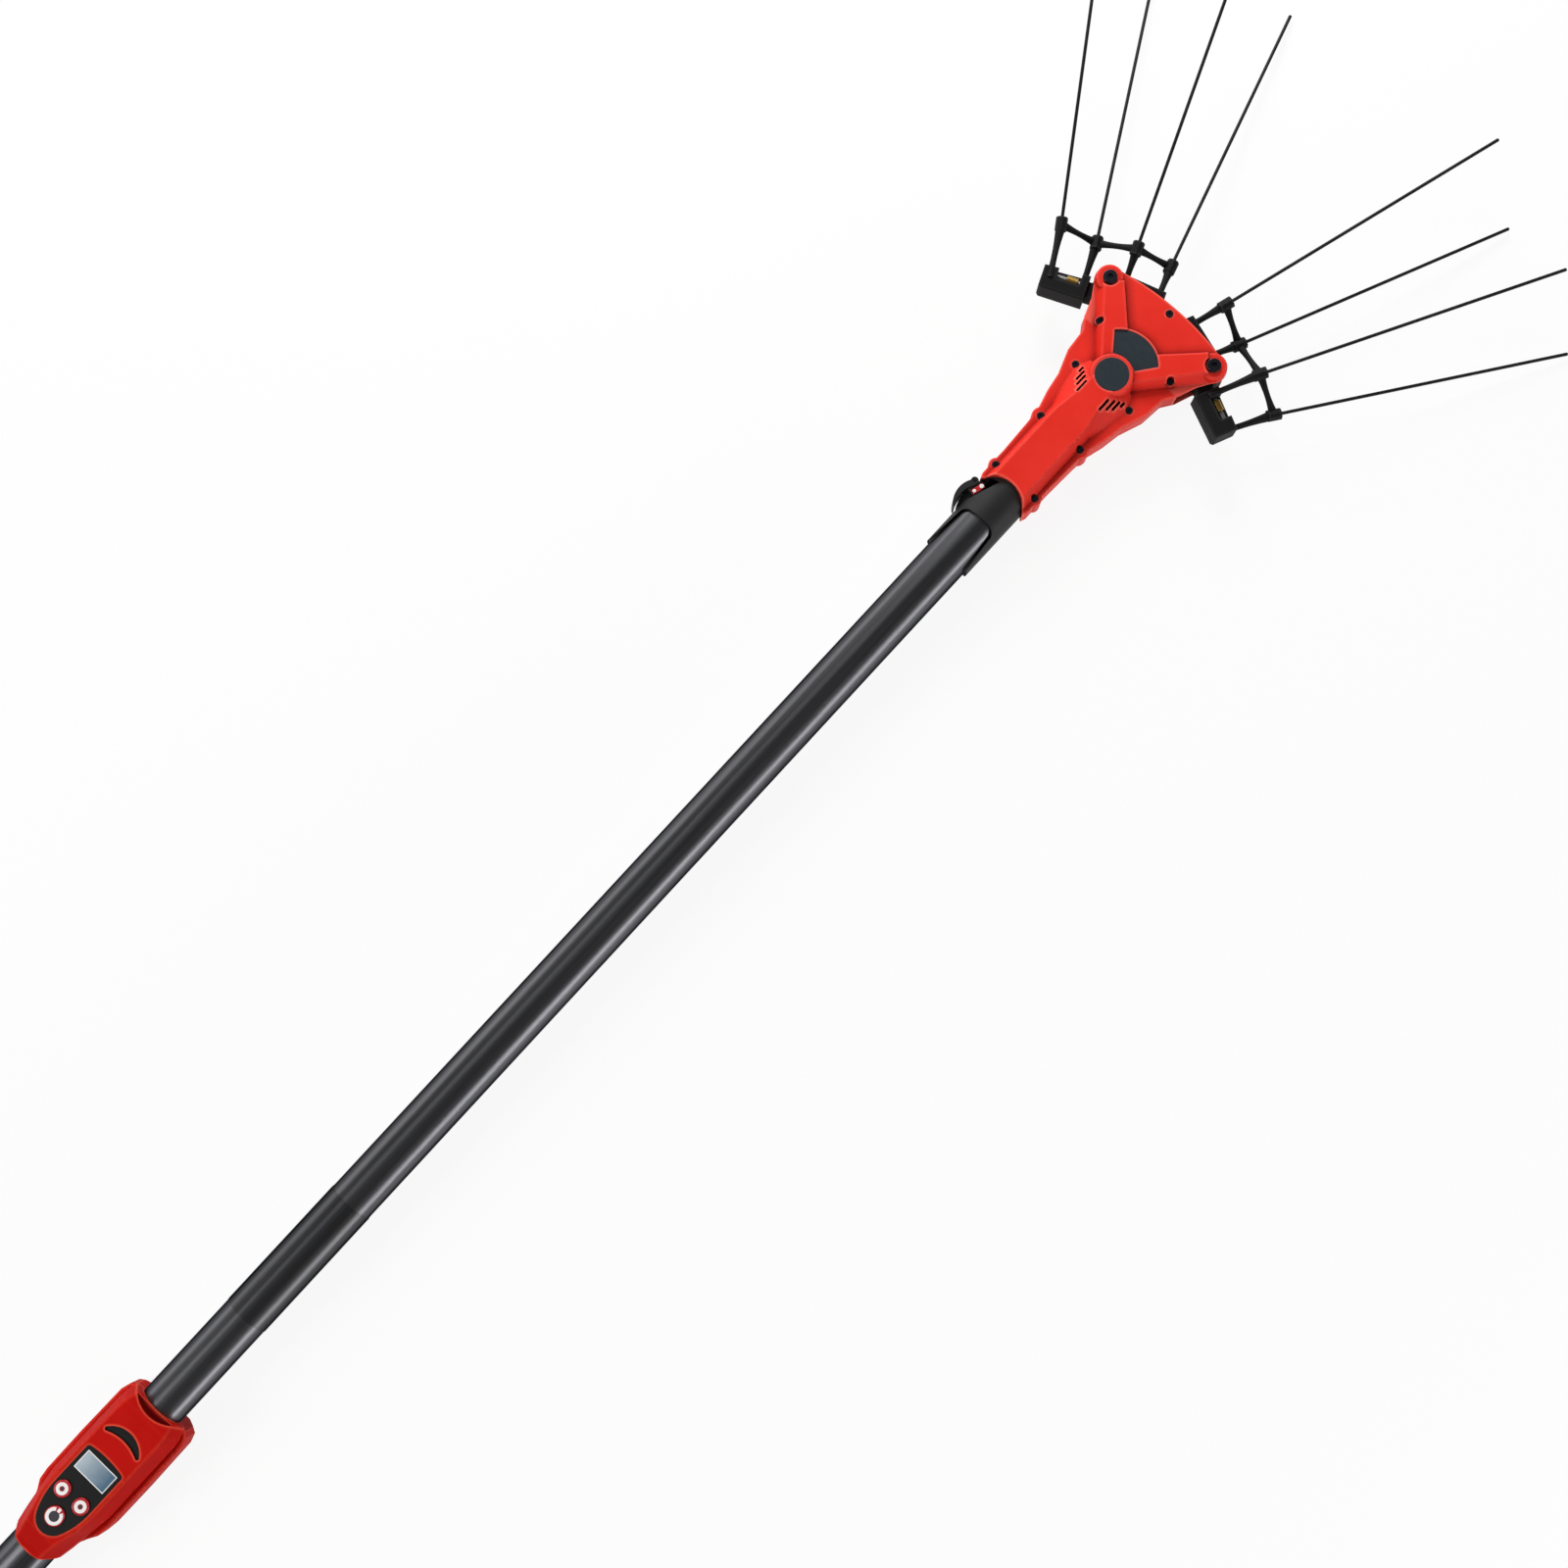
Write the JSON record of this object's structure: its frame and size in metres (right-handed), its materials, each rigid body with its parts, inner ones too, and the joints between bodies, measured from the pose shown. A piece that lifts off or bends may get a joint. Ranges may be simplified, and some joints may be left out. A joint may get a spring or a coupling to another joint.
{
  "type": "electric olive harvester",
  "caption": "Pole-mounted electric fruit shaker: a motor in a forked head swings rakes of thin rods, worked from a control box with display and buttons on the pole.",
  "frame": {"origin": "centre of the pole's butt end, on the pole's axis", "axes": "+Y up the pole towards the head, +Z out of the face with the display and badge, tool lying on its back"},
  "size_m": [0.559, 2.0034, 0.0693],
  "materials": {
    "red_plastic": "smooth moulded",
    "black_plastic": "fine grain",
    "label_black": "smooth",
    "rod_black": "pultruded rod",
    "pole_aluminium": "black satin coat",
    "dark_steel": "blackened",
    "bright_steel": "machined",
    "brass": "turned",
    "motor_metal": "motor can",
    "gear_metal": "die cast",
    "cable_rubber": "jacketed cable",
    "pad_red": "moulded",
    "board_green": "circuit board",
    "display": "liquid crystal window",
    "button_red": "moulded, white sign",
    "rivet_white": "nylon"
  },
  "bodies": {
    "tool": {"butt_cap": "black_plastic", "circuit_board": "board_green", "control_base": "red_plastic", "control_cover": "red_plastic", "control_fascia": "label_black", "control_screws": "dark_steel", "crescent_inlay": "label_black", "display_panel": "display", "drive_motor": "motor_metal", "gear_case": "gear_metal", "head_back_shell": "red_plastic", "head_front_shell": "red_plastic", "housing_screws": "dark_steel", "lever_pin": "dark_steel", "neck_sleeve": "black_plastic", "pivot_bolts": "dark_steel", "pivot_nuts": "dark_steel", "pole_band": "black_plastic", "pole_cable": "cable_rubber", "pole_tube": "pole_aluminium", "power_socket": "label_black", "round_badge": "label_black", "shield_plate": "label_black"},
    "left_rake": {"left_rake_frame": "black_plastic", "left_clamp_bolt": "bright_steel", "left_clamp_sleeve": "brass", "left_bush": "brass", "left_tine_1": "rod_black", "left_tine_2": "rod_black", "left_tine_3": "rod_black", "left_tine_4": "rod_black"},
    "right_rake": {"right_rake_frame": "black_plastic", "right_clamp_bolt": "bright_steel", "right_clamp_sleeve": "brass", "right_bush": "brass", "right_tine_1": "rod_black", "right_tine_2": "rod_black", "right_tine_3": "rod_black", "right_tine_4": "rod_black"},
    "yoke": {"drive_yoke": "bright_steel", "yoke_pins": "bright_steel"},
    "crank": {"drive_crank": "bright_steel"},
    "lever": {"lock_lever": "black_plastic", "lever_pad": "pad_red", "pad_rivets": "rivet_white"},
    "minus_key": {"button_minus": "button_red"},
    "plus_key": {"button_plus": "button_red"},
    "power_key": {"button_power": "button_red"}
  },
  "joints": [
    {"name": "left_rake_swing", "type": "hinge", "parent": "tool", "child": "left_rake", "pos_m": [-0.0593, 1.689, 0], "axis": [0, 0, 1], "range_deg": [-10, 10]},
    {"name": "right_rake_swing", "type": "hinge", "parent": "tool", "child": "right_rake", "pos_m": [0.0593, 1.689, 0], "axis": [0, 0, 1], "range_deg": [-10, 10]},
    {"name": "yoke_slide", "type": "slide", "parent": "tool", "child": "yoke", "axis": [0, 1, 0], "range_m": [-0.0047, 0.0047]},
    {"name": "crank_spin", "type": "hinge", "parent": "tool", "child": "crank", "pos_m": [0, 1.623, 0], "axis": [0, 0, 1], "continuous": true},
    {"name": "lever_flip", "type": "hinge", "parent": "tool", "child": "lever", "pos_m": [-0.0264, 1.4778, 0], "axis": [0, 0, 1], "range_deg": [-75, 0]},
    {"name": "minus_press", "type": "slide", "parent": "tool", "child": "minus_key", "axis": [0, 0, -1], "range_m": [0, 0.0012], "stiffness_N_per_m": 800},
    {"name": "plus_press", "type": "slide", "parent": "tool", "child": "plus_key", "axis": [0, 0, -1], "range_m": [0, 0.0012], "stiffness_N_per_m": 800},
    {"name": "power_press", "type": "slide", "parent": "tool", "child": "power_key", "axis": [0, 0, -1], "range_m": [0, 0.0012], "stiffness_N_per_m": 800}
  ],
  "couplings": [
    {"joint": "right_rake_swing", "follows": "left_rake_swing", "ratio": -1},
    {"joint": "yoke_slide", "follows": "left_rake_swing", "m_per_rad": 0.02615}
  ]
}
